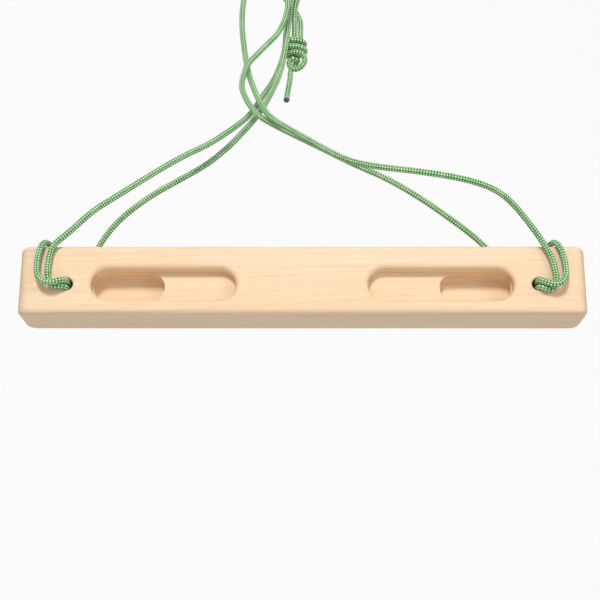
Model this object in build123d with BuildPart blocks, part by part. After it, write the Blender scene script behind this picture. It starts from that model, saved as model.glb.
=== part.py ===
"""Portable climbing hangboard: a routed hardwood beam hung on one knotted cord.

Millimetres. X runs along the beam, the front face looks to -Y, +Z is up.
The origin is the hang point, where the sling's bights pass over whatever holds them.
"""
import os
from math import pi, radians, tan

from build123d import *

os.makedirs("parts", exist_ok=True)

# ---- beam ---------------------------------------------------------------
BEAM_LENGTH = 560.0
BEAM_THICKNESS = 58.0
BEAM_HEIGHT = 70.0
EDGE_RADIUS = 5.0          # hand-friendly roundover along the top and bottom
END_RADIUS = 12.0          # rounder corners at the two ends, seen from above

HANG_OFFSET = 12.0         # beam centre, to the right of the hang point
HANG_SETBACK = 30.0        # beam centre, in front of the hang point
HANG_DROP = 385.0          # beam centre, below the hang point

# ---- finger slots, one each side ----------------------------------------
ROW_DROP = 5.0             # slots and cord holes sit this far below mid height
SLOT_LENGTH = 142.0
SLOT_HEIGHT = 32.0
SLOT_LAND = 24.5           # from the cord hole's centre to the slot's outer end
SLOT_DEPTH = 12.0
LIP_RADIUS = 5.0           # roundover of the slot's mouth
DEEP_LENGTH = 70.5         # the deeper pocket at the slot's outer end
DEEP_LEDGE = 1.0           # ledge left round the deeper pocket
DEEP_DEPTH = 25.0          # from the front face
FLOOR_RADIUS = 2.0         # corner left by the cutter at the deeper pocket's floor

# ---- cord and its holes -------------------------------------------------
CORD_DIAMETER = 6.0
STRAND_GAP = 0.2           # between the two strands in a hole
HOLE_CLEARANCE = 0.5       # hole diameter over the two strands and their gap
HOLE_DIAMETER = 2 * CORD_DIAMETER + STRAND_GAP + HOLE_CLEARANCE
HOLE_INSET = 48.0          # from the beam's end to the hole's centre
HOLE_ROUND = 2.0           # roundover of the hole's rims
CORNER_SHARE = 0.45        # share of the shorter run that a bend may use

# ---- knot and cord ends -------------------------------------------------
KNOT_TOP = -79.0           # where the two strands enter the knot
KNOT_BOTTOM = -124.0
KNOT_CENTRE = (5.5, 6.5)   # x and y of the knot's axis
KNOT_SECTIONS = [          # height, half width, half depth, x shift
    (KNOT_TOP, 7.6, 5.2, 0.0),
    (-90.0, 9.6, 7.4, 0.4),
    (-104.0, 10.0, 7.6, 0.2),
    (-116.0, 9.2, 6.6, -1.0),
    (KNOT_BOTTOM, 7.4, 4.8, -3.0),
]
TAIL_TIP_LENGTH = 4.0
TIP_RADIUS = 1.6

# ---- places worked out from the sizes above -----------------------------
beam_centre = Vector(HANG_OFFSET, -HANG_SETBACK, -HANG_DROP)
front_y = beam_centre.Y - BEAM_THICKNESS / 2
row_z = beam_centre.Z - ROW_DROP
deep_height = SLOT_HEIGHT - 2 * DEEP_LEDGE
hole_centre = BEAM_LENGTH / 2 - HOLE_INSET
slot_end = hole_centre - SLOT_LAND
slot_centre = slot_end - SLOT_LENGTH / 2
deep_centre = slot_end - DEEP_LEDGE - DEEP_LENGTH / 2
flat_below_slot = BEAM_HEIGHT / 2 - ROW_DROP - SLOT_HEIGHT / 2 - EDGE_RADIUS
lip_radius = min(LIP_RADIUS, 0.9 * flat_below_slot)


def front_plane(depth=0.0):
    """The plane at a depth behind the front face, looking into the wood.

    Its x axis is the beam's length, and its origin is on the row of slots.
    """
    origin = (beam_centre.X, front_y + depth, row_z)
    return Plane(origin=origin, x_dir=(1, 0, 0), z_dir=(0, -1, 0))


def along_y(edge):
    """True for an edge that lies in one plane square to the beam's depth."""
    box = edge.bounding_box()
    return box.max.Y - box.min.Y < 0.01


def edges_at_depth(part, depth, within):
    """The edges of a part that lie at a depth, no further out than within."""
    level = front_y + depth
    found = []
    for edge in part.edges().filter_by(along_y):
        box = edge.bounding_box()
        reach = max(abs(box.min.X - beam_centre.X), abs(box.max.X - beam_centre.X))
        if abs(box.center().Y - level) < 0.01 and reach < within:
            found.append(edge)
    return found


# ---- the beam -----------------------------------------------------------
with BuildPart() as beam:
    with BuildSketch(Plane.YZ.offset(beam_centre.X - BEAM_LENGTH / 2)):
        with Locations((beam_centre.Y, beam_centre.Z)):
            Rectangle(BEAM_THICKNESS, BEAM_HEIGHT)
    extrude(amount=BEAM_LENGTH)
    fillet(beam.edges().filter_by(Axis.Z), END_RADIUS)
    by_height = beam.faces().sort_by(Axis.Z)
    fillet(by_height[0].edges() + by_height[-1].edges(), EDGE_RADIUS)

    with BuildSketch(front_plane()):
        with Locations((-slot_centre, 0), (slot_centre, 0)):
            SlotOverall(SLOT_LENGTH, SLOT_HEIGHT)
    extrude(amount=-SLOT_DEPTH, mode=Mode.SUBTRACT)
    fillet(edges_at_depth(beam.part, 0, slot_end + 1), lip_radius)

    with BuildSketch(front_plane(SLOT_DEPTH)):
        with Locations((-deep_centre, 0), (deep_centre, 0)):
            SlotOverall(DEEP_LENGTH, deep_height)
    extrude(amount=SLOT_DEPTH - DEEP_DEPTH, mode=Mode.SUBTRACT)
    fillet(edges_at_depth(beam.part, DEEP_DEPTH, BEAM_LENGTH / 2), FLOOR_RADIUS)

    with BuildSketch(front_plane()):
        with Locations((-hole_centre, 0), (hole_centre, 0)):
            Circle(HOLE_DIAMETER / 2)
    extrude(amount=-BEAM_THICKNESS, mode=Mode.SUBTRACT)
    rims = beam.edges().filter_by(GeomType.CIRCLE)
    rims = [rim for rim in rims if abs(rim.radius - HOLE_DIAMETER / 2) < 0.01]
    fillet(rims, HOLE_ROUND)
beam.part.label = "beam"
export_step(beam.part, "parts/beam.step")


# ---- the cord -----------------------------------------------------------
# One cord runs from the knot, twice through each end of the beam, and back to the
# knot. Its stretches meet inside the holes and at the top of the middle bight.
ROUTES = {
    "sling_left_front": [  # knot, first bight, left front line, down the face, into the left hole
        (9, 7, -79), (9, 7, -71), (9, 8.5, -61), (4.5, 11, -50), (0, 14, -41), (2, 14.5, -30),
        (9, 14, -18), (10, 13, -6), (1, 12.5, 1), (-10, 12, 0), (-17, 11.5, -11), (-14, 10, -24),
        (-6, 8.5, -34), (-4.5, 8, -43), (-5.7, 8, -53), (-7, 5, -77),
        (-8, 2, -101), (-13, -3, -122), (-19, -7, -140), (-26, -10, -154), (-33, -14, -166),
        (-39, -18, -181), (-48, -22, -194), (-62, -26, -208), (-86, -31, -228), (-113, -38, -245),
        (-143, -45, -268), (-172, -52, -292), (-198, -57, -312), (-215, -61, -332),
        (-226, -63, -343.5), (-234.5, -63.5, -351.5), (-237.2, -63.2, -361), (-238.3, -63, -372),
        (-238.2, -63, -382), (-235.5, -63, -390), (-231, -63.2, -393.6), (-225.5, -63.4, -393.6),
        (-220.3, -59.5, -393.2), (-220.1, -47, -393.1), (-220.1, -35, -393.1),
    ],
    "sling_left_wrap": [  # out of the back, over the top edge, down the face, into the left hole again
        (-220.1, -35, -393.1), (-220.1, -23, -393.1), (-220, -11, -393.2), (-220.2, 0, -393.1),
        (-224.5, 4, -392), (-230.5, 4, -387), (-233.5, 3.3, -378), (-233.8, 3, -366),
        (-232.8, 3.2, -351.5), (-232.5, -2, -345.8), (-234, -16, -346.2), (-237, -32, -346),
        (-240.6, -48.5, -345.2), (-244, -60, -346.4), (-246.7, -64.4, -354.5), (-248.6, -63.8, -365),
        (-249, -64, -375), (-247.2, -66.5, -383.5), (-242, -69.6, -390), (-234.5, -70.2, -392.6),
        (-226, -69.4, -390), (-220.2, -63, -386.9), (-220, -49, -386.9), (-220, -35, -386.9),
    ],
    "sling_left_back": [  # out of the back, left back line, up to the middle bight
        (-220, -35, -386.9), (-220, -23, -386.9), (-220.1, -11, -386.8), (-219.9, 0.5, -386.9),
        (-219.2, 4.2, -382.8), (-216.5, 3.6, -372), (-211, 3.2, -355), (-202, 3, -330),
        (-191, 2, -312), (-174, -1, -294), (-146, -4, -273), (-115, -7, -256), (-89, -11, -242),
        (-66, -14, -223), (-48, -18, -204), (-36, -20, -190), (-27, -20, -174), (-20, -18, -158),
        (-14, -15, -144), (-8, -11, -126), (-4, -6, -105), (-2, -5, -83), (-0.6, -5, -59.2),
        (-1, -4, -39), (3, -3, -26), (6, -1.5, -15), (5.5, -0.5, -7), (1, 0, -2), (-5.3, 0, 0.8),
    ],
    "sling_right_front": [  # middle bight, right front line, down the face, into the right hole
        (-5.3, 0, 0.8), (-14.3, 0, 4.8), (-22, -1, 4), (-31, -3, -4), (-44, -7, -17), (-52, -8.5, -33),
        (-55.2, -11, -60.1), (-54, -16, -89), (-51, -20, -113), (-48, -22, -132), (-45, -26, -147),
        (-40, -31, -163), (-34, -38, -181), (-24, -42, -198), (-10, -48, -211), (8, -58, -228),
        (32, -76, -252), (57, -95, -275), (86, -110, -288), (118, -120, -296), (150, -122, -302),
        (177, -115, -305), (201, -100, -308), (219, -86, -317), (234, -73, -330), (244.6, -66, -341.7),
        (251, -63.8, -351.5), (256.3, -63.2, -361.5), (259.3, -63, -372), (260.8, -63, -382),
        (260.4, -63, -390), (257, -63, -396.2), (251.2, -63.6, -396.6), (245.6, -62, -393.6),
        (244.1, -56, -393), (244, -45.5, -393.1), (244, -35, -393.1),
    ],
    "sling_right_wrap": [  # out of the back, over the top edge, down the face, into the right hole again
        (244, -35, -393.1), (244, -23, -393.1), (244.1, -11, -393.2), (244.2, 0, -393.1),
        (248.5, 4, -392), (254, 4, -387), (256.5, 3.3, -378), (256.2, 3, -366), (254.6, 3.2, -351.5),
        (254, -2, -345.8), (254.6, -16, -346.2), (256.5, -32, -346), (259.2, -48.5, -345.1),
        (262.8, -60, -346.6), (266.6, -64.4, -355), (269.6, -63.8, -365), (270.4, -64, -375.5),
        (269.6, -66.5, -384.5), (265.5, -69.2, -391.4), (258, -69.8, -394.6), (250, -68.8, -391.2),
        (244.2, -63, -386.9), (244, -49, -386.9), (244, -35, -386.9),
    ],
    "sling_right_back": [  # out of the back, right back line, last bight, knot
        (244, -35, -386.9), (244, -23, -386.9), (244.1, -11, -386.8), (243.7, 0.5, -386.9),
        (242.2, 4.2, -382.8), (236, 3.6, -373), (224, 3.2, -357), (204, 3, -331), (188, 1, -316),
        (168, -2, -301), (137, -8, -280), (101, -15, -260), (64, -22, -246), (30, -30, -231),
        (-1, -35, -217), (-24, -39, -206), (-35, -39, -198), (-44, -36, -185), (-50, -34, -172),
        (-53, -32, -161), (-51, -32, -148), (-47, -32, -135), (-38, -29, -123), (-27, -25, -108),
        (-16, -21, -94), (-9, -17, -77), (-5, -14.5, -60), (-5, -12, -44), (-9, -11.5, -31),
        (-13.5, -11, -18), (-10, -10, -5), (-1, -9, 0.5), (9, -7.5, -6), (12.5, -5, -19),
        (9.5, -1.5, -32), (4.5, 1.5, -44), (2.5, 5.5, -57), (2.5, 6, -68), (2.5, 6, -79),
    ],
    "tail": [  # the loose end below the knot; the other end stays inside it
        (-2, 4, -124), (-2, 4, -134), (-4, 2, -147), (-5.7, 0, -160.2),
    ],
}


def bend_radii(points):
    """The radius of each bend: as large as the shorter of its two runs allows."""
    radii = []
    for before, corner, after in zip(points, points[1:], points[2:]):
        run_in = Vector(*corner) - Vector(*before)
        run_out = Vector(*after) - Vector(*corner)
        half_turn = radians(run_in.get_angle(run_out) / 2)
        radii.append(CORNER_SHARE * min(run_in.length, run_out.length) / tan(half_turn))
    return radii


def lay_cord(label, points):
    """Sweep one stretch of cord along its route, and write it."""
    radii = bend_radii(points)
    with BuildPart() as cord:
        with BuildLine() as line:
            FilletPolyline(*points, radius=radii)
        route = line.wires()[0]
        with BuildSketch(Plane(origin=route @ 0, z_dir=route % 0)):
            Circle(CORD_DIAMETER / 2)
        sweep(path=route)
    cord.part.label = label
    export_step(cord.part, f"parts/{label}.step")
    share = cord.part.volume / (route.length * pi * CORD_DIAMETER**2 / 4)
    tightest = ", ".join(f"{radius:.1f}" for radius in sorted(radii)[:6])
    print(f"{label}: length {route.length:.0f}, volume share {share:.4f}, tightest bends {tightest}")


for name, points in ROUTES.items():
    lay_cord(name, points)


# ---- the knot -----------------------------------------------------------
with BuildPart() as knot:
    for height, half_width, half_depth, shift in KNOT_SECTIONS:
        with BuildSketch(Plane.XY.offset(height)):
            with Locations((KNOT_CENTRE[0] + shift, KNOT_CENTRE[1])):
                Ellipse(half_width, half_depth)
    loft()
knot.part.label = "knot"
export_step(knot.part, "parts/knot.step")


# ---- the melted end of the cord -----------------------------------------
def melt_tip(label, points):
    """Cap the loose end of a tail, carrying on in the line of its last run."""
    last, end = Vector(*points[-2]), Vector(*points[-1])
    with BuildPart() as tip:
        with BuildSketch(Plane(origin=end, z_dir=end - last)):
            Circle(CORD_DIAMETER / 2)
        extrude(amount=TAIL_TIP_LENGTH)
        fillet(tip.faces().sort_by(Axis.Z)[0].edges(), TIP_RADIUS)
    tip.part.label = label
    export_step(tip.part, f"parts/{label}.step")


melt_tip("tail_tip", ROUTES["tail"])
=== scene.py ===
"""Looks of a portable climbing hangboard: a routed hardwood beam hung on one knotted cord.

Metres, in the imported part's frame: X along the beam, the front face to -Y, +Z up, and the
origin at the hang point. Routes are written in millimetres, as the part's source has them.
"""
from __future__ import annotations

import logging
import math
from dataclasses import dataclass, field
from enum import Enum

import bpy
import numpy as np
from mathutils import Matrix, Vector


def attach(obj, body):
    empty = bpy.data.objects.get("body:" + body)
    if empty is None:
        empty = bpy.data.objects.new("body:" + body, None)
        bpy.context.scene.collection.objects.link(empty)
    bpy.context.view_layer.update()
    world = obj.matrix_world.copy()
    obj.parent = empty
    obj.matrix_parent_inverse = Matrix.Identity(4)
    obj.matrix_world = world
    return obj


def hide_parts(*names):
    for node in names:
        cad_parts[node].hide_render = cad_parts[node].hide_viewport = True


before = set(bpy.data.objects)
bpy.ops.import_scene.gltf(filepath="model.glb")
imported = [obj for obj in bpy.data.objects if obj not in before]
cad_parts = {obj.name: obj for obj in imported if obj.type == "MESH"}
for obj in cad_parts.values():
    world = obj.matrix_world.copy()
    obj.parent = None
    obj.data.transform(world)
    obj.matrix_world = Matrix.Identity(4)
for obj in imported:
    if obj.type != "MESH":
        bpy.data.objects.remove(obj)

log = logging.getLogger("hangboard")

MM = 0.001
BODY = "root"
Place = tuple[float, float, float]
Colour = tuple[float, float, float, float]
Route = list[Place]

SAME_PLACE = 1e-9  # points closer than this, in metres, are one point
FEWEST_STEPS = 8
ARCH_SLOPE = 1.9  # a strand's arch would meet the ground at 1 over this, in strand widths
ARCH_SHARE = 0.55
LIFT_SHARE = 0.45


class Slot(str, Enum):
    """The record's material slots."""

    WOOD = "hardwood"
    CORD = "cord"
    TIP = "melted_cord"


def linear(red: int, green: int, blue: int) -> Colour:
    """Turn an 8 bit sRGB colour into linear light by the sRGB curve.

    Args:
        red: Red, 0 to 255.
        green: Green, 0 to 255.
        blue: Blue, 0 to 255.

    Returns:
        The linear colour with alpha 1.
    """
    shares = [value / 255.0 for value in (red, green, blue)]
    lit = [c / 12.92 if c <= 0.04045 else ((c + 0.055) / 1.055) ** 2.4 for c in shares]
    return (lit[0], lit[1], lit[2], 1.0)


# ---------------------------------------------------------------------------
# Node building
# ---------------------------------------------------------------------------
class Nodes:
    """A material's node tree, with short calls to add and join nodes."""

    def __init__(self, name: str) -> None:
        """Start an empty material of that name with one Principled shader."""
        self.material = bpy.data.materials.new(name)
        self.material.use_nodes = True
        self.tree = self.material.node_tree
        self.tree.nodes.clear()
        self.output = self.tree.nodes.new("ShaderNodeOutputMaterial")
        self.shader = self.tree.nodes.new("ShaderNodeBsdfPrincipled")
        self.tree.links.new(self.shader.outputs["BSDF"], self.output.inputs["Surface"])

    def add(self, kind: str, inputs: dict | None = None, **settings: object) -> bpy.types.Node:
        """Add a node.

        Args:
            kind: The node's type, without its ShaderNode prefix.
            inputs: Socket name or number to a value or another socket.
            settings: Properties of the node itself.

        Returns:
            The new node.
        """
        node = self.tree.nodes.new("ShaderNode" + kind)
        for key, value in settings.items():
            setattr(node, key, value)
        for key, value in (inputs or {}).items():
            self.put(node.inputs[key], value)
        return node

    def put(self, socket: bpy.types.NodeSocket, value: object) -> None:
        """Link a socket to another, or give it a plain value."""
        if isinstance(value, bpy.types.NodeSocket):
            self.tree.links.new(value, socket)
        else:
            socket.default_value = value

    def math(self, operation: str, first: object, second: object = 0.0) -> bpy.types.NodeSocket:
        """Add a Math node and return its value socket."""
        return self.add("Math", {0: first, 1: second}, operation=operation).outputs[0]

    def mix(self, share: object, first: object, second: object) -> bpy.types.NodeSocket:
        """Blend two colours by a share and return the colour socket."""
        return self.add("Mix", {0: share, 6: first, 7: second}, data_type="RGBA").outputs[2]

    def choose(self, share: object, first: object, second: object) -> bpy.types.NodeSocket:
        """Blend two numbers by a share and return the value socket."""
        return self.add("Mix", {0: share, 2: first, 3: second}, data_type="FLOAT").outputs[0]

    def span(self, value: object, low: float, high: float, to_low: float = 0.0,
             to_high: float = 1.0) -> bpy.types.NodeSocket:
        """Map a value smoothly from one range to another and return its socket."""
        node = self.add("MapRange", {0: value, 1: low, 2: high, 3: to_low, 4: to_high},
                        interpolation_type="SMOOTHSTEP")
        return node.outputs[0]

    def noise(self, where: object, scale: float, detail: float = 3.0,
              roughness: float = 0.5) -> bpy.types.NodeSocket:
        """Add a noise texture at a place and return its value socket."""
        node = self.add("TexNoise", {"Vector": where, "Scale": scale, "Detail": detail,
                                     "Roughness": roughness})
        return node.outputs[0]

    def drawn_noise(self, where: object, scale: Place, detail: float,
                    roughness: float = 0.5) -> bpy.types.NodeSocket:
        """Add noise that is drawn out along X, by a scale of its own on each axis.

        Args:
            where: The place socket.
            scale: Cells to a metre along X, Y and Z.
            detail: Octaves of the noise.
            roughness: How strong each finer octave is.

        Returns:
            The noise's value socket.
        """
        place = self.add("Mapping", {"Vector": where, "Scale": scale}).outputs[0]
        return self.noise(place, 1.0, detail, roughness)

    def bump(self, height: object, distance: float, strength: float = 1.0) -> None:
        """Drive the shader's normal by a height, in metres at height 1."""
        node = self.add("Bump", {"Height": height, "Distance": distance, "Strength": strength})
        self.put(self.shader.inputs["Normal"], node.outputs[0])


# ---------------------------------------------------------------------------
# Finishes
# ---------------------------------------------------------------------------
@dataclass(frozen=True)
class OiledHardwood:
    """Pale hardwood sawn along the beam, sanded and lightly oiled."""

    early: Colour = linear(239, 214, 181)
    late: Colour = linear(221, 186, 146)
    fleck: Colour = linear(205, 164, 122)
    warm: Colour = linear(236, 200, 162)
    end_grain: Colour = linear(206, 168, 126)
    roughness: float = 0.52
    ring_width: float = 0.0052
    pith: Place = (0.0, 0.075, -0.53)
    pith_tip: Place = (0.0, math.radians(1.6), math.radians(1.1))
    sway: float = 0.016
    sway_scale: Place = (2.2, 9.0, 9.0)
    fibre_scale: Place = (22.0, 900.0, 900.0)
    streak_scale: Place = (3.0, 120.0, 120.0)
    patch_scale: Place = (5.0, 22.0, 22.0)
    fleck_scale: Place = (150.0, 1500.0, 1500.0)
    grain_depth: float = 0.00008

    def build(self) -> bpy.types.Material:
        """Rings round a pith behind and below the beam, drawn out along X.

        The ring number is the distance from the pith's line over the ring's width, bent by
        slow noise that is stretched along the beam. Fibres are fine noise stretched forty
        to one along X, and short flecks are a third noise cut off near its top.

        Returns:
            The wood material.
        """
        n = Nodes("oiled_hardwood")
        here = n.add("TexCoord").outputs["Object"]
        tilt = n.add("Mapping", {"Vector": here, "Location": (0.0, -self.pith[1], -self.pith[2]),
                                 "Rotation": self.pith_tip})
        parts = n.add("SeparateXYZ", {0: tilt.outputs[0]})
        across = n.math("ADD", n.math("POWER", parts.outputs[1], 2.0),
                        n.math("POWER", parts.outputs[2], 2.0))
        sway = n.drawn_noise(here, self.sway_scale, 2.0)
        radius = n.math("ADD", n.math("SQRT", across), n.math("MULTIPLY", sway, self.sway))
        rings = n.math("DIVIDE", radius, self.ring_width)
        ring = n.math("FRACT", rings)
        # early wood rises slowly to the late wood, which ends at a sharp edge
        late = n.math("MULTIPLY", n.span(ring, 0.25, 0.9), n.span(ring, 1.0, 0.94))
        ring_noise = n.noise(n.math("FLOOR", rings), 3.7, 0.0)
        late = n.math("MULTIPLY", late, n.span(ring_noise, 0.3, 0.75, 0.15, 0.75))

        fibre = n.drawn_noise(here, self.fibre_scale, 4.0, 0.6)
        streak = n.drawn_noise(here, self.streak_scale, 3.0, 0.55)
        patch = n.drawn_noise(here, self.patch_scale, 2.0)
        fleck = n.span(n.drawn_noise(here, self.fleck_scale, 1.0), 0.68, 0.78)

        colour = n.mix(n.math("MULTIPLY", late, 0.55), self.early, self.late)
        colour = n.mix(n.span(streak, 0.42, 0.75, 0.0, 0.4), colour, self.late)
        colour = n.mix(n.span(patch, 0.4, 0.7, 0.0, 0.5), colour, self.warm)
        colour = n.mix(n.math("MULTIPLY", n.span(fibre, 0.45, 0.8), 0.28), colour, self.fleck)
        colour = n.mix(n.math("MULTIPLY", fleck, 0.35), colour, self.fleck)
        # the two sawn ends drink more oil, so they are darker and their rings show more
        facing = n.add("SeparateXYZ", {0: n.add("NewGeometry").outputs["Normal"]})
        end = n.span(n.math("ABSOLUTE", facing.outputs[0]), 0.55, 0.95)
        cut = n.mix(n.math("MULTIPLY", late, 0.8), self.end_grain, self.fleck)
        colour = n.mix(n.math("MULTIPLY", end, 0.6), colour, cut)
        n.put(n.shader.inputs["Base Color"], colour)
        rough = n.math("ADD", n.math("MULTIPLY", fibre, 0.16), self.roughness - 0.08)
        n.put(n.shader.inputs["Roughness"], rough)
        n.put(n.shader.inputs["Specular IOR Level"], 0.32)
        height = n.math("ADD", n.math("MULTIPLY", fibre, 0.6), n.math("MULTIPLY", late, 0.4))
        n.bump(height, self.grain_depth, 0.7)
        return n.material


@dataclass(frozen=True)
class BraidedSheath:
    """A nylon sheath: pale strands one way round, and green ones the other way."""

    green: Colour = linear(70, 178, 62)
    deep: Colour = linear(34, 138, 40)
    pale: Colour = linear(238, 255, 222)
    # painted shade: the dark green laid into the grooves between yarns and strands
    painted_crevice_shade: Colour = linear(14, 84, 20)
    roughness: float = 0.62
    yarn_twist: float = 44.0
    yarn_depth: float = 0.00012

    def build(self, strands: int) -> bpy.types.Material:
        """Colour each strand of the braid where it lies on top, with painted shade in the grooves
        between yarns and along strand edges.

        The map's first coordinate counts strands round the cord and the second counts
        crossings along it. Their difference and sum number the strands of the two
        directions, and the one of the first direction is on top where the two whole
        numbers add up to an even one.

        Args:
            strands: Strands in each direction, which is what the map counts to.

        Returns:
            The sheath material.
        """
        n = Nodes(f"braided_sheath_{strands}")
        uv = n.add("SeparateXYZ", {0: n.add("UVMap", uv_map="braid").outputs[0]})
        first = n.math("SUBTRACT", uv.outputs[0], uv.outputs[1])
        second = n.math("ADD", uv.outputs[0], uv.outputs[1])
        i, j = n.math("ROUND", first), n.math("ROUND", second)
        side_i, side_j = n.math("SUBTRACT", first, i), n.math("SUBTRACT", second, j)
        odd = n.math("ABSOLUTE", n.math("MODULO", n.math("ADD", i, j), 2.0))
        on_top = n.math("LESS_THAN", odd, 0.5)
        side = n.choose(on_top, side_j, side_i)
        along = n.choose(on_top, side_i, side_j)
        # a strand of the first direction is pale across most of its width, green on one side
        pale_yarn = n.math("MULTIPLY", n.span(side, -0.24, -0.12), on_top)
        pale_yarn = n.math("MULTIPLY", pale_yarn, n.span(n.math("ABSOLUTE", along), 0.5, 0.4))
        twist = n.math("SINE", n.math("MULTIPLY", n.math("ADD", along, side), self.yarn_twist))
        body = n.mix(on_top, self.deep, self.green)
        colour = n.mix(pale_yarn, body, self.pale)
        # painted shade: darker green in the grooves between the twisted yarns
        colour = n.mix(n.span(twist, -1.0, 0.6, 0.16, 0.0), colour, self.painted_crevice_shade)
        # painted shade along each strand's edges, where it dips under its neighbours; the same
        # mask lowers the bump there
        edge_shade_and_dip = n.math("MAXIMUM", n.span(n.math("ABSOLUTE", side), 0.36, 0.5),
                      n.span(n.math("ABSOLUTE", along), 0.42, 0.5))
        colour = n.mix(n.math("MULTIPLY", edge_shade_and_dip, 0.75), colour, self.painted_crevice_shade)
        here = n.add("TexCoord").outputs["Object"]
        wear = n.noise(here, 90.0, 2.0)
        colour = n.mix(n.span(wear, 0.35, 0.75, 0.0, 0.18), colour, self.pale)
        n.put(n.shader.inputs["Base Color"], colour)
        n.put(n.shader.inputs["Roughness"], self.roughness)
        n.put(n.shader.inputs["Sheen Weight"], 0.25)
        n.put(n.shader.inputs["Sheen Roughness"], 0.5)
        n.put(n.shader.inputs["Specular IOR Level"], 0.35)
        n.bump(n.math("SUBTRACT", n.math("MULTIPLY", twist, 0.25), edge_shade_and_dip), self.yarn_depth, 0.8)
        return n.material


@dataclass(frozen=True)
class MeltedNylon:
    """Cord end sealed with a flame: dark, glassy and a little sooty."""

    colour: Colour = linear(30, 92, 48)
    soot: Colour = linear(22, 40, 26)

    def build(self) -> bpy.types.Material:
        """Mix green and soot by noise over a smooth, lumpy surface."""
        n = Nodes("melted_nylon")
        here = n.add("TexCoord").outputs["Object"]
        lumps = n.noise(here, 420.0, 3.0)
        n.put(n.shader.inputs["Base Color"], n.mix(n.span(lumps, 0.45, 0.7, 0.0, 0.7),
                                                    self.colour, self.soot))
        n.put(n.shader.inputs["Roughness"], n.span(lumps, 0.3, 0.7, 0.24, 0.5))
        n.bump(lumps, 0.0002, 0.6)
        return n.material


@dataclass(frozen=True)
class PaleStudio:
    """The floor and backdrop: white to the camera and in gloss, with the floor's shadow."""

    paint: Colour = (0.86, 0.86, 0.86, 1.0)

    def build(self) -> bpy.types.Material:
        """Show plain white where the camera or a mirror-like surface looks at it."""
        n = Nodes("pale_studio")
        n.put(n.shader.inputs["Base Color"], self.paint)
        n.put(n.shader.inputs["Roughness"], 0.9)
        path = n.add("LightPath")
        seen = n.math("MAXIMUM", path.outputs["Is Camera Ray"],
                      n.math("MAXIMUM", path.outputs["Is Glossy Ray"],
                             path.outputs["Is Transmission Ray"]))
        white = n.add("Emission", {"Color": (1, 1, 1, 1), "Strength": 1.0})
        both = n.add("MixShader", {0: n.math("MULTIPLY", seen, 0.9),
                                   1: n.shader.outputs[0], 2: white.outputs[0]})
        n.put(n.output.inputs["Surface"], both.outputs[0])
        return n.material


# ---------------------------------------------------------------------------
# Surfaces
# ---------------------------------------------------------------------------
def spline_points(name: str, route: Route) -> np.ndarray:
    """Read the smooth line of a route.

    The line is a quadratic NURBS spline, clamped to its first and last point, with the
    route's points as its control points.

    Args:
        name: Name for the short-lived curve.
        route: Control points in millimetres.

    Returns:
        Points along the spline in metres, in order.
    """
    curve = bpy.data.curves.new(name + "_line", "CURVE")
    curve.dimensions = "3D"
    spline = curve.splines.new("NURBS")
    spline.points.add(len(route) - 1)
    rows = np.column_stack([np.array(route, float) * MM, np.ones(len(route))])
    spline.points.foreach_set("co", rows.ravel())
    spline.order_u = 3
    spline.use_endpoint_u = True
    spline.resolution_u = 32
    holder = bpy.data.objects.new(name + "_line", curve)
    line = bpy.data.meshes.new_from_object(holder)
    points = np.empty(len(line.vertices) * 3)
    line.vertices.foreach_get("co", points)
    bpy.data.objects.remove(holder)
    bpy.data.meshes.remove(line)
    bpy.data.curves.remove(curve)
    return points.reshape(-1, 3)


def even_steps(points: np.ndarray, step: float) -> tuple[np.ndarray, np.ndarray]:
    """Space points evenly along a line.

    Args:
        points: The line, one point a row.
        step: Wanted spacing in metres.

    Returns:
        The evenly spaced points and the distance of each along the line.
    """
    gaps = np.linalg.norm(np.diff(points, axis=0), axis=1)
    keep = np.concatenate([[True], gaps > SAME_PLACE])
    points = points[keep]
    run = np.concatenate([[0.0], np.cumsum(np.linalg.norm(np.diff(points, axis=0), axis=1))])
    count = max(FEWEST_STEPS, int(round(run[-1] / step))) + 1
    along = np.linspace(0.0, run[-1], count)
    return np.column_stack([np.interp(along, run, points[:, k]) for k in range(3)]), along


def carry_frames(points: np.ndarray) -> tuple[np.ndarray, np.ndarray]:
    """Carry a pair of cross directions along a line without twist.

    Each station's first direction is the last one's, less its part along the new tangent.

    Args:
        points: Evenly spaced points of the line.

    Returns:
        The two unit directions square to the line at each point.
    """
    tangent = np.gradient(points, axis=0)
    tangent /= np.linalg.norm(tangent, axis=1)[:, None]
    first = np.zeros_like(points)
    seed = np.array([0.0, -1.0, 0.0]) if abs(tangent[0, 1]) < 0.9 else np.array([0.0, 0.0, 1.0])
    for station, ahead in enumerate(tangent):
        seed = seed - ahead * (seed @ ahead)
        seed = seed / np.linalg.norm(seed)
        first[station] = seed
    return first, np.cross(tangent, first)


def arch(side: np.ndarray) -> np.ndarray:
    """Height of a strand's rounded top, by the distance from its middle in strand widths."""
    return np.sqrt(np.clip(1.0 - (ARCH_SLOPE * side) ** 2, 0.0, 1.0))


def braid_height(around: np.ndarray, crossings: np.ndarray) -> np.ndarray:
    """Height of the braid's surface, from 0 in a groove to 1 on a crown.

    A strand's height is a rounded arch across it, half a circle's square root, plus a
    cosine along it that lifts it over one strand and takes it under the next. The
    surface is the higher of the two directions' strands.

    Args:
        around: Strand count round the cord.
        crossings: Crossing count along the cord.

    Returns:
        The height at each place.
    """
    first, second = around - crossings, around + crossings
    i, j = np.round(first), np.round(second)
    lift_i = np.cos(np.pi * (i + second))
    lift_j = -np.cos(np.pi * (first + j))
    return np.maximum(ARCH_SHARE * arch(first - i) + LIFT_SHARE * lift_i,
                      ARCH_SHARE * arch(second - j) + LIFT_SHARE * lift_j)


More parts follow.
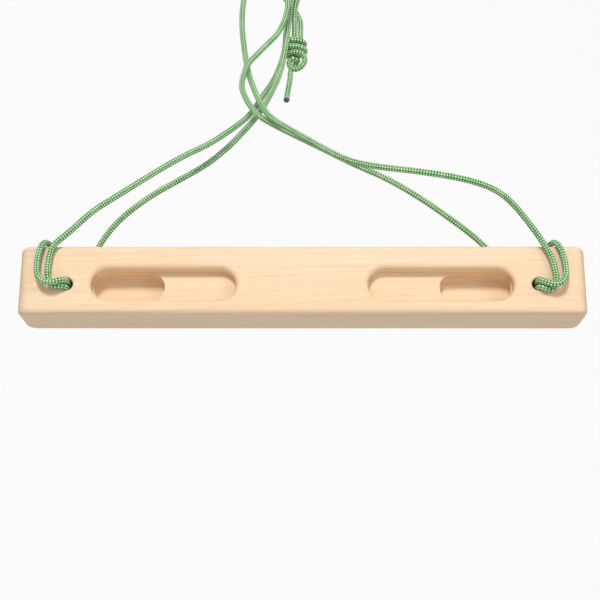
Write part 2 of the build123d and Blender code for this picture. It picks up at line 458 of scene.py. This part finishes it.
def mesh_piece(name: str, verts: np.ndarray, faces: np.ndarray, caps: list[list[int]],
               material: bpy.types.Material) -> bpy.types.Object:
    """Make a smooth-shaded object at the origin from vertices, quads and end caps.

    Args:
        name: The piece's name.
        verts: Vertices in metres.
        faces: Quads as vertex numbers.
        caps: Further faces, with any number of corners.
        material: Its finish.

    Returns:
        The object, linked to the scene.
    """
    mesh = bpy.data.meshes.new(name)
    mesh.from_pydata(verts.tolist(), [], faces.tolist() + caps)
    mesh.polygons.foreach_set("use_smooth", np.ones(len(mesh.polygons), dtype=bool))
    mesh.materials.append(material)
    mesh.update()
    piece = bpy.data.objects.new(name, mesh)
    bpy.context.scene.collection.objects.link(piece)
    return piece


def tube_faces(rings: int, sides: int) -> np.ndarray:
    """Quads of a tube, where each ring's vertices follow the last ring's, facing outwards."""
    ring, side = np.meshgrid(np.arange(rings - 1), np.arange(sides), indexing="ij")
    near, far = ring * sides, (ring + 1) * sides
    beside = (side + 1) % sides
    return np.stack([near + side, near + beside, far + beside, far + side], axis=-1).reshape(-1, 4)


def ring_angles(sides: int) -> np.ndarray:
    """Even angles round a ring, in radians."""
    return np.linspace(0.0, 2.0 * np.pi, sides, endpoint=False)


def tube_piece(name: str, points: np.ndarray, radius: np.ndarray,
               material: bpy.types.Material) -> bpy.types.Object:
    """Make a closed tube along a line.

    A vertex lies at the line's point plus its radius times the cross direction at its angle,
    which is the angle's cosine of one cross direction plus its sine of the other.

    Args:
        name: The piece's name.
        points: Points of the line.
        radius: The radius of each vertex, one ring a row.
        material: Its finish.

    Returns:
        The tube, whose quads come ring by ring before its two end caps.
    """
    rings, sides = radius.shape
    angle = ring_angles(sides)
    first, second = carry_frames(points)
    out = (first[:, None, :] * np.cos(angle)[None, :, None]
           + second[:, None, :] * np.sin(angle)[None, :, None])
    verts = points[:, None, :] + out * radius[:, :, None]
    caps = [list(range(sides - 1, -1, -1)), list(range((rings - 1) * sides, rings * sides))]
    return mesh_piece(name, verts.reshape(-1, 3), tube_faces(rings, sides), caps, material)


@dataclass
class BraidedRope:
    """A cord's sheath, as braided strands raised on a tube along a line."""

    diameter: float = 6.0 * MM
    strands: int = 7
    crossing: float = 2.7 * MM
    relief: float = 0.42 * MM
    mean_height: float = 0.72
    ring_step: float = 0.5 * MM
    sides: int = 40

    def make(self, name: str, line: np.ndarray, material: bpy.types.Material,
             phase: float = 0.0) -> bpy.types.Object:
        """Raise the braid along a line and map it.

        The radius is the cord's plus the relief times the braid's height above its mean, so
        the mean surface keeps the cord's own diameter.

        Args:
            name: The piece's name.
            line: The line's points in metres.
            material: Its finish, which reads the braid map.
            phase: Distance along the whole cord at which this stretch starts.

        Returns:
            The rope piece.
        """
        points, along = even_steps(line, self.ring_step)
        counts = (along + phase) / self.crossing
        size = (len(points), self.sides)
        around = np.broadcast_to(ring_angles(self.sides) / (2.0 * np.pi) * self.strands, size)
        height = braid_height(around, np.broadcast_to(counts[:, None], size))
        radius = self.diameter / 2 + self.relief * (height - self.mean_height)
        piece = tube_piece(name, points, radius, material)
        self.map_braid(piece, counts)
        return piece

    def map_braid(self, piece: bpy.types.Object, crossings: np.ndarray) -> None:
        """Write the braid map: strands round the cord and crossings along it, per corner.

        Args:
            piece: The rope piece, whose quads come ring by ring before its two caps.
            crossings: The crossing count at each ring.
        """
        rings = len(crossings)
        side = np.arange(self.sides) / self.sides * self.strands
        step = self.strands / self.sides
        u = np.stack([side, side + step, side + step, side], axis=-1)
        u = np.broadcast_to(u, (rings - 1, self.sides, 4))
        low, high = crossings[:-1, None], crossings[1:, None]
        v = np.stack(np.broadcast_arrays(low, low, high, high), axis=-1)
        v = np.broadcast_to(v, (rings - 1, self.sides, 4))
        quads = np.stack([u, v], axis=-1).reshape(-1, 2)
        caps = np.zeros((2 * self.sides, 2))
        layer = piece.data.uv_layers.new(name="braid")
        layer.data.foreach_set("uv", np.concatenate([quads, caps]).astype(np.float32).ravel())


# ---------------------------------------------------------------------------
# Routes of the cord, in millimetres
# ---------------------------------------------------------------------------
LEFT_FRONT: Route = [  # out of the knot, first bight, left front line, into the left hole
    (3.5, 6.5, -118.5), (5, 7.4, -108), (8, 7.6, -93),
    (9, 7, -79), (9, 7, -71), (9, 8.5, -61), (4.5, 11, -50), (0, 14, -41), (2, 14.5, -30),
    (9, 14, -18), (10, 13, -6), (1, 12.5, 1), (-10, 12, 0), (-17, 11.5, -11), (-14, 10, -24),
    (-6, 8.5, -34), (-4.5, 8, -43), (-5.7, 8, -53), (-7, 5, -77),
    (-8, 2, -101), (-13, -3, -122), (-19, -7, -140), (-26, -10, -154), (-33, -14, -166),
    (-39, -18, -181), (-48, -22, -194), (-62, -26, -208), (-86, -31, -228), (-113, -38, -245),
    (-143, -45, -268), (-172, -52, -292), (-198, -57, -312), (-215, -61, -332),
    (-226, -63, -343.5), (-234.5, -63.5, -351.5), (-237.2, -63.2, -361), (-238.3, -63, -372),
    (-238.2, -63, -382), (-235.5, -63, -390), (-231, -63.2, -393.6), (-225.5, -63.4, -393.6),
    (-220.3, -59.5, -393.2), (-220.1, -47, -393.1), (-220.1, -35, -393.1),
]
LEFT_WRAP: Route = [  # out of the back, over the top edge, down the face, into the hole again
    (-220.1, -35, -393.1), (-220.1, -23, -393.1), (-220, -11, -393.2), (-220.2, 0, -393.1),
    (-224.5, 4, -392), (-230.5, 4, -387), (-233.5, 3.3, -378), (-233.8, 3, -366),
    (-232.8, 3.2, -351.5), (-232.5, -2, -345.8), (-234, -16, -346.2), (-237, -32, -346),
    (-240.6, -48.5, -345.2), (-244, -60, -346.4), (-246.7, -64.4, -354.5), (-248.6, -63.8, -365),
    (-249, -64, -375), (-247.2, -66.5, -383.5), (-242, -69.6, -390), (-234.5, -70.2, -392.6),
    (-226, -69.4, -390), (-220.2, -63, -386.9), (-220, -49, -386.9), (-220, -35, -386.9),
]
MIDDLE: Route = [  # left hole, left back line, middle bight, right front line, right hole
    (-220, -35, -386.9), (-220, -23, -386.9), (-220.1, -11, -386.8), (-219.9, 0.5, -386.9),
    (-219.2, 4.2, -382.8), (-216.5, 3.6, -372), (-211, 3.2, -355), (-202, 3, -330),
    (-191, 2, -312), (-174, -1, -294), (-146, -4, -273), (-115, -7, -256), (-89, -11, -242),
    (-66, -14, -223), (-48, -18, -204), (-36, -20, -190), (-27, -20, -174), (-20, -18, -158),
    (-15, -15, -144), (-10.5, -11, -126), (-7.5, -6, -105), (-5, -5, -83), (-3, -5, -59.2),
    (-1, -4, -39), (3, -3, -26), (6, -1.5, -15), (5.5, -0.5, -7), (1, 0, -2),
    (-14.3, 0, 4.8), (-22, -1, 4), (-31, -3, -4), (-44, -7, -17), (-52, -8.5, -33),
    (-55.2, -11, -60.1), (-54, -16, -89), (-51, -20, -113), (-48, -22, -132), (-45, -26, -147),
    (-40, -31, -163), (-34, -38, -181), (-25, -43, -199.5), (-11, -49, -213), (8, -58, -229),
    (32, -76, -252), (57, -95, -275), (86, -110, -288), (118, -120, -296), (150, -122, -302),
    (177, -115, -305), (201, -100, -308), (219, -86, -317), (234, -73, -330), (244.6, -66, -341.7),
    (251, -63.8, -351.5), (256.3, -63.2, -361.5), (259.3, -63, -372), (260.8, -63, -382),
    (260.4, -63, -390), (257, -63, -396.2), (251.2, -63.6, -396.6), (245.6, -62, -393.6),
    (244.1, -56, -393), (244, -45.5, -393.1), (244, -35, -393.1),
]
RIGHT_WRAP: Route = [  # out of the back, over the top edge, down the face, into the hole again
    (244, -35, -393.1), (244, -23, -393.1), (244.1, -11, -393.2), (244.2, 0, -393.1),
    (248.5, 4, -392), (254, 4, -387), (256.5, 3.3, -378), (256.2, 3, -366), (254.6, 3.2, -351.5),
    (254, -2, -345.8), (254.6, -16, -346.2), (256.5, -32, -346), (259.2, -48.5, -345.1),
    (262.8, -60, -346.6), (266.6, -64.4, -355), (269.6, -63.8, -365), (270.4, -64, -375.5),
    (269.6, -66.5, -384.5), (265.5, -69.2, -391.4), (258, -69.8, -394.6), (250, -68.8, -391.2),
    (244.2, -63, -386.9), (244, -49, -386.9), (244, -35, -386.9),
]
RIGHT_BACK: Route = [  # out of the back, right back line, last bight, into the knot
    (244, -35, -386.9), (244, -23, -386.9), (244.1, -11, -386.8), (243.7, 0.5, -386.9),
    (242.2, 4.2, -382.8), (236, 3.6, -373), (224, 3.2, -357), (204, 3, -331), (188, 1, -316),
    (168, -2, -301), (137, -8, -280), (101, -15, -260), (64, -22, -246), (30, -30, -231),
    (-1, -35, -217), (-24, -39, -206), (-35, -39, -198), (-44, -36, -185), (-50, -34, -172),
    (-53, -32, -161), (-51, -32, -148), (-47, -32, -135), (-38, -29, -123), (-27, -25, -108),
    (-16, -21, -94), (-9, -17, -77), (-5, -14.5, -60), (-5, -12, -44), (-9, -11.5, -31),
    (-13.5, -11, -18), (-10, -10, -5), (-1, -9, 0.5), (9, -7.5, -6), (12.5, -5, -19),
    (7.5, -1.2, -33), (3, 2, -45), (2.2, 5.5, -57), (2.5, 6, -68), (2.5, 6, -79), (1.6, 6.2, -92),
    (0.8, 6.6, -110),
]
TAIL: Route = [  # from inside the knot's last turn, down
    (0.5, 4.2, -117), (-2, 4, -124), (-2, 4, -134), (-4, 2, -147), (-5.7, 0, -160.2),
]


# ---------------------------------------------------------------------------
# Sub-assemblies
# ---------------------------------------------------------------------------
def dress(piece: bpy.types.Object, nodes: tuple[str, ...]) -> None:
    """Let a piece ride on the board, and hide the nodes that it stands for."""
    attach(piece, BODY)
    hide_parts(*nodes)


@dataclass
class Beam:
    """The routed beam, which keeps its own mesh."""

    finish: OiledHardwood = field(default_factory=OiledHardwood)

    def build(self) -> bpy.types.Object:
        """Dress the beam's node in wood."""
        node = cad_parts["beam"]
        node.data.materials.clear()
        node.data.materials.append(self.finish.build())
        log.info("beam: wood on %d faces", len(node.data.polygons))
        return node


@dataclass
class Stretch:
    """One stretch of the cord, from one meeting place to the next."""

    name: str
    route: Route
    stands_for: tuple[str, ...]
    far_end: str
    length: float
    lay: str = "hanging"


@dataclass
class Sling:
    """The one cord: five stretches, its knot, its tail and the tail's melted tip."""

    rope: BraidedRope = field(default_factory=BraidedRope)
    stretches: tuple[Stretch, ...] = (
        Stretch("left_front_braided", LEFT_FRONT, ("sling_left_front",), "object", 0.677),
        Stretch("left_wrap_braided", LEFT_WRAP, ("sling_left_wrap",), "object", 0.250, "taut"),
        Stretch("middle_braided", MIDDLE, ("sling_left_back", "sling_right_front"),
                "object", 1.206),
        Stretch("right_wrap_braided", RIGHT_WRAP, ("sling_right_wrap",), "object", 0.250, "taut"),
        Stretch("right_back_braided", RIGHT_BACK, ("sling_right_back",), "object", 0.725),
    )
    tail_length: float = 0.044
    tip_run: int = 5  # of the tail line's last steps, which give the tip its direction

    def build(self) -> list[bpy.types.Object]:
        """Lay every stretch, tie the knot and seal the tail.

        Returns:
            The pieces, in order along the cord.
        """
        sheath = BraidedSheath().build(self.rope.strands)
        melted = MeltedNylon().build()
        made, phase = [], 0.0
        for stretch in self.stretches:
            line = spline_points(stretch.name, stretch.route)
            piece = self.rope.make(stretch.name, line, sheath, phase)
            phase += stretch.length
            dress(piece, stretch.stands_for)
            made.append(piece)
            log.info("%s: %d faces", piece.name, len(piece.data.polygons))
        made += Knot(self.rope).build(sheath)
        made += self.tail(sheath, melted)
        return made

    def tail(self, sheath: bpy.types.Material,
             melted: bpy.types.Material) -> list[bpy.types.Object]:
        """Make the loose tail and its melted tip.

        Args:
            sheath: The cord's finish.
            melted: The tip's finish.

        Returns:
            The two pieces.
        """
        line = spline_points("tail", TAIL)
        tail = self.rope.make("tail_braided", line, sheath)
        dress(tail, ("tail",))
        ahead = line[-1] - line[-1 - self.tip_run]
        tip = MeltedTip(line[-1], ahead).build("tail_sealed_end", melted)
        dress(tip, ("tail_tip",))
        log.info("tail: %d faces, and its sealed end", len(tail.data.polygons))
        return [tail, tip]


@dataclass
class MeltedTip:
    """The bead that a flame leaves on a cord's end."""

    start: np.ndarray
    direction: np.ndarray
    length: float = 4.0 * MM
    radius: float = 3.05 * MM
    overlap: float = 0.2 * MM
    closed_radius: float = 0.05 * MM
    straight: float = 0.45
    rings: int = 18
    sides: int = 32

    def build(self, name: str, material: bpy.types.Material) -> bpy.types.Object:
        """Turn the bead's profile about the cord's line.

        The radius is a short collar, a slightly wider bead where the sheath has shrunk back,
        and a quarter ellipse that closes it, with three slow lumps round it.

        Args:
            name: The tip's name.
            material: The melted finish.

        Returns:
            The tip.
        """
        axis = self.direction / np.linalg.norm(self.direction)
        points = self.start + np.linspace(-self.overlap, self.length, self.rings)[:, None] * axis
        share = np.linspace(0.0, 1.0, self.rings)
        past = np.clip((share - self.straight) / (1.0 - self.straight), 0, 1)
        closing = np.sqrt(np.clip(1.0 - past ** 2, 0, 1))
        profile = self.radius * closing * (1.0 + 0.05 * np.sin(np.pi * np.clip(share / 0.5, 0, 1)))
        lumps = 1.0 + 0.035 * np.sin(3 * ring_angles(self.sides)[None, :] + 5 * share[:, None])
        radius = np.maximum(profile, self.closed_radius)[:, None] * lumps
        return tube_piece(name, points, radius, material)


@dataclass
class Knot:
    """The knot that closes the sling: turns of the cord round its own two strands."""

    rope: BraidedRope

    TURNS = [  # round the two strands from the top turn down, then the bottom lobe
        (6, 9, -84), (-1, 13, -84.5), (-7, 9, -86), (-7, 1.5, -88), (1, -2.8, -89.5),
        (11, -1, -90), (14.4, 7, -91), (7, 14, -92), (-3, 13.5, -93.5), (-7.6, 7, -95),
        (-5.6, -0.8, -96.5), (2, -3.6, -97.8), (12, -1.6, -98.5), (15, 7, -100), (8, 14, -101),
        (-2, 13.2, -102.5), (-7, 7, -104), (-4.6, 0.2, -105), (3, -3.4, -104.8),
        (11, -2.6, -106), (14.4, 0.6, -111.5), (12, 1.4, -119), (5, 1.6, -124), (-2, 2.4, -121.5),
        (-3.6, 1.4, -114.5), (1.5, -0.6, -111.5), (5.5, 3.4, -113), (6, 8, -110),
    ]

    def build(self, sheath: bpy.types.Material) -> list[bpy.types.Object]:
        """Wind the turns.

        Args:
            sheath: The cord's finish.

        Returns:
            The knot piece, in a list.
        """
        piece = self.rope.make("knot_turns", spline_points("knot", self.TURNS), sheath)
        dress(piece, ("knot",))
        log.info("knot: %d faces", len(piece.data.polygons))
        return [piece]


@dataclass
class Studio:
    """Floor, lamps and camera."""

    look_at: Place = (9.816, -30.0, -397.581)
    distance: float = 1250.0
    yaw: float = 0.6181
    elevation: float = -17.462
    roll: float = 0.1923
    lens: float = 74.866
    floor_level: float = -1.4
    floor_reach: float = 6.0
    back: float = 2.2
    sweep: float = 1.0
    lamps_aim: Place = (0.01, -0.06, -0.35)
    air_light: float = 0.3

    def camera(self) -> bpy.types.Object:
        """Stand the camera below and in front, looking up at the beam.

        The view direction is the horizontal heading turned by the yaw, tipped by the
        elevation, and the camera's own sides are then turned by the roll.

        Returns:
            The camera.
        """
        yaw, tip, roll = (math.radians(v) for v in (self.yaw, self.elevation, self.roll))
        ahead = Vector((-math.sin(yaw) * math.cos(tip), math.cos(yaw) * math.cos(tip),
                        -math.sin(tip)))
        right = Vector((math.cos(yaw), math.sin(yaw), 0.0))
        up = right.cross(ahead)
        right, up = (right * math.cos(roll) + up * math.sin(roll),
                     up * math.cos(roll) - right * math.sin(roll))
        data = bpy.data.cameras.new("camera")
        data.sensor_width = 36.0
        data.lens = self.lens
        data.clip_start, data.clip_end = 0.05, 50.0
        camera = bpy.data.objects.new("camera", data)
        place = (Vector(self.look_at) - ahead * self.distance) * MM
        camera.matrix_world = Matrix.Translation(place) @ Matrix(
            (right, up, -ahead)).transposed().to_4x4()
        bpy.context.scene.collection.objects.link(camera)
        bpy.context.scene.camera = camera
        return camera

    def lamp(self, name: str, place: Place, size: float, power: float,
             colour: Place) -> bpy.types.Object:
        """Hang a soft square lamp that faces the beam.

        Args:
            name: The lamp's name.
            place: Its place in metres.
            size: Its side in metres.
            power: Its power in watts.
            colour: Its colour.

        Returns:
            The lamp.
        """
        data = bpy.data.lights.new(name, "AREA")
        data.shape, data.size, data.energy, data.color = "SQUARE", size, power, colour
        lamp = bpy.data.objects.new(name, data)
        lamp.location = place
        aim = Vector(self.lamps_aim) - Vector(place)
        lamp.rotation_euler = aim.to_track_quat("-Z", "Y").to_euler()
        bpy.context.scene.collection.objects.link(lamp)
        return lamp

    def floor(self) -> bpy.types.Object:
        """Sweep a floor up into a backdrop, as a quarter arc between two flats."""
        turn = np.linspace(0.0, np.pi / 2, 24)
        back, radius, reach = self.back, self.sweep, self.floor_reach
        y = np.concatenate([[-reach], back - radius + radius * np.sin(turn), [back]])
        z = self.floor_level + np.concatenate([[0.0], radius - radius * np.cos(turn), [reach]])
        left, right = np.full_like(y, -reach), np.full_like(y, reach)
        verts = np.concatenate([np.column_stack([left, y, z]), np.column_stack([right, y, z])])
        row, count = np.arange(len(y) - 1), len(y)
        faces = np.column_stack([row, row + count, row + count + 1, row + 1])
        sheet = mesh_piece("floor", verts, faces, [], PaleStudio().build())
        return sheet

    def air(self) -> bpy.types.World:
        """Light the scene evenly from all round, and show white where the air is seen.

        The strength is 1 for a camera, glossy or transmission ray, and the air's light for
        every other ray.

        Returns:
            The world.
        """
        world = bpy.data.worlds.new("studio_air")
        world.use_nodes = True
        tree = world.node_tree
        background = tree.nodes["Background"]
        background.inputs["Color"].default_value = (1.0, 1.0, 1.0, 1.0)
        path = tree.nodes.new("ShaderNodeLightPath")
        seen = path.outputs["Is Camera Ray"]
        for ray in ("Is Glossy Ray", "Is Transmission Ray"):
            either = tree.nodes.new("ShaderNodeMath")
            either.operation = "MAXIMUM"
            tree.links.new(seen, either.inputs[0])
            tree.links.new(path.outputs[ray], either.inputs[1])
            seen = either.outputs[0]
        level = tree.nodes.new("ShaderNodeMapRange")
        level.inputs["To Min"].default_value = self.air_light
        level.inputs["To Max"].default_value = 1.0
        tree.links.new(seen, level.inputs["Value"])
        tree.links.new(level.outputs["Result"], background.inputs["Strength"])
        return world

    def build(self) -> None:
        """Set the stage, the lamps, the world and plain colour handling."""
        scene = bpy.context.scene
        scene.view_settings.view_transform = "Standard"
        self.camera()
        self.floor()
        self.lamp("key", (-0.4, -3.5, 1.8), 0.8, 112.0, (1.0, 0.985, 0.965))
        self.lamp("fill", (1.7, -1.6, 0.1), 0.9, 11.0, (0.95, 0.98, 1.0))
        scene.world = self.air()
        log.info("studio: camera %.1f mm, two lamps", self.lens)


def main() -> None:
    """Build the studio, the beam and the sling, and report each."""
    logging.basicConfig(level=logging.INFO, format="%(name)s: %(message)s")
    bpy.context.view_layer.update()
    Studio().build()
    Beam().build()
    Sling().build()


if __name__ == "__main__":
    main()
